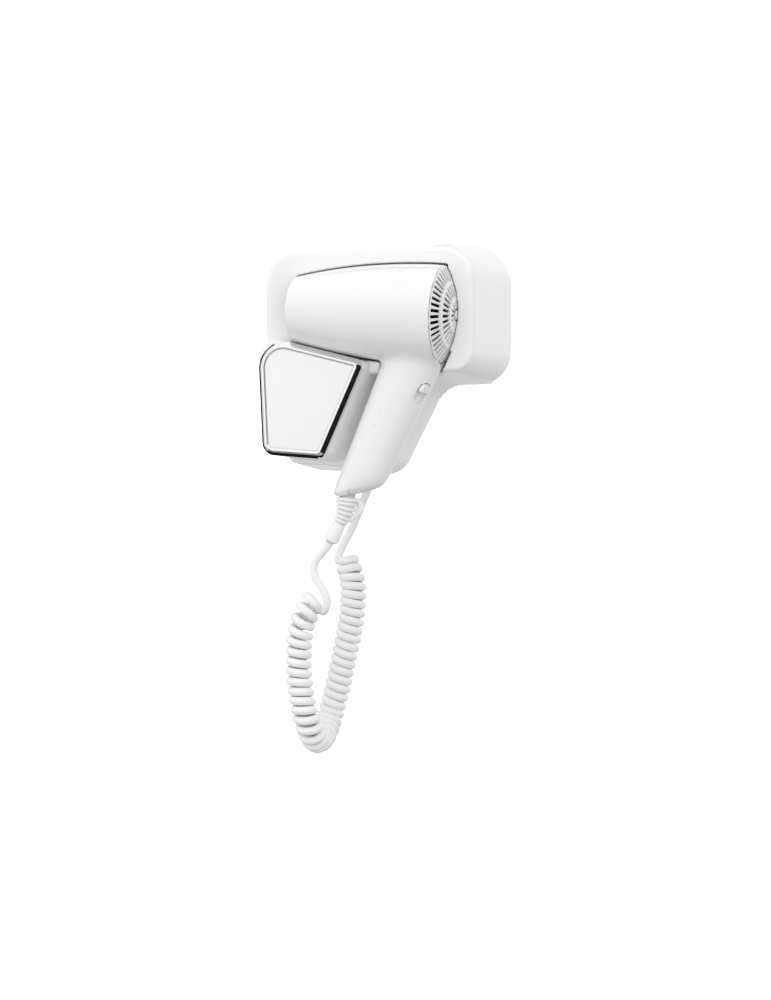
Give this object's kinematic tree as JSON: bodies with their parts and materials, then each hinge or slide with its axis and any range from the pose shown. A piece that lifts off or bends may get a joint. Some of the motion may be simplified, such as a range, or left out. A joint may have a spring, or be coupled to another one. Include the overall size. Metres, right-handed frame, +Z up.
{
  "type": "wall-mounted hair dryer",
  "caption": "Wall housing with a form-fit cradle, a pistol-grip hair dryer resting in it, and a curly cord hanging between the two.",
  "frame": {"origin": "centre of the wall plate's back face, on the wall", "axes": "+Z up, +Y into the wall, +X to the right as seen from the front"},
  "size_m": [0.1798, 0.1149, 0.3921],
  "materials": {
    "housing_white": "glossy",
    "dryer_white": "glossy",
    "cord_white": "satin",
    "chrome": "polished",
    "inner_plastic": "satin",
    "dark_plastic": "satin",
    "steel": "brushed",
    "board": "satin",
    "mica": "matte",
    "wire": "matte"
  },
  "bodies": {
    "housing": {"wall_plate": "housing_white", "housing_shell": "housing_white", "block_floor": "inner_plastic", "trim_frame": "chrome", "trim_panel": "housing_white", "power_switch": "dark_plastic", "terminal_block": "inner_plastic", "control_board": "board", "reed_switch": "inner_plastic", "cord_gland": "cord_white", "cord_clamp": "inner_plastic", "clamp_screws": "steel", "shell_screws": "steel", "supply_wires": "wire", "cord_coil": "cord_white", "wall_lead": "cord_white"},
    "dryer": {"front_shell": "dryer_white", "rear_shell": "dryer_white", "rear_grille": "dryer_white", "outlet_grille": "dark_plastic", "motor_mount": "inner_plastic", "motor": "steel", "rectifier_board": "board", "diodes": "dark_plastic", "mica_sleeve": "mica", "heater_frame": "mica", "heater_winding": "steel", "thermostat": "steel", "thermal_fuse": "steel", "speed_switch": "dark_plastic", "handle_screws": "steel", "handle_clamp": "inner_plastic", "cradle_magnet": "steel", "handset_wires": "wire", "strain_relief": "cord_white", "cord_sleeve": "cord_white", "hanging_loop": "cord_white", "handle_lead": "cord_white"},
    "fan": {"motor_shaft": "steel", "impeller": "dark_plastic"},
    "knob": {"switch_knob": "dryer_white"},
    "button": {"power_button": "housing_white"}
  },
  "joints": [
    {"name": "dryer_lift", "type": "slide", "parent": "housing", "child": "dryer", "axis": [0, -1, 0], "range_m": [0, 0.09]},
    {"name": "fan_spin", "type": "hinge", "parent": "dryer", "child": "fan", "pos_m": [0.0595, -0.078, -0.0043], "axis": [-0.9986, 0, 0.0523], "continuous": true},
    {"name": "speed_slide", "type": "slide", "parent": "dryer", "child": "knob", "axis": [-0.4147, 0, -0.91], "range_m": [0, 0.0065]},
    {"name": "button_press", "type": "slide", "parent": "housing", "child": "button", "axis": [0, 0, -1], "range_m": [0, 0.002], "stiffness_N_per_m": 300, "springref_m": -0.001}
  ]
}
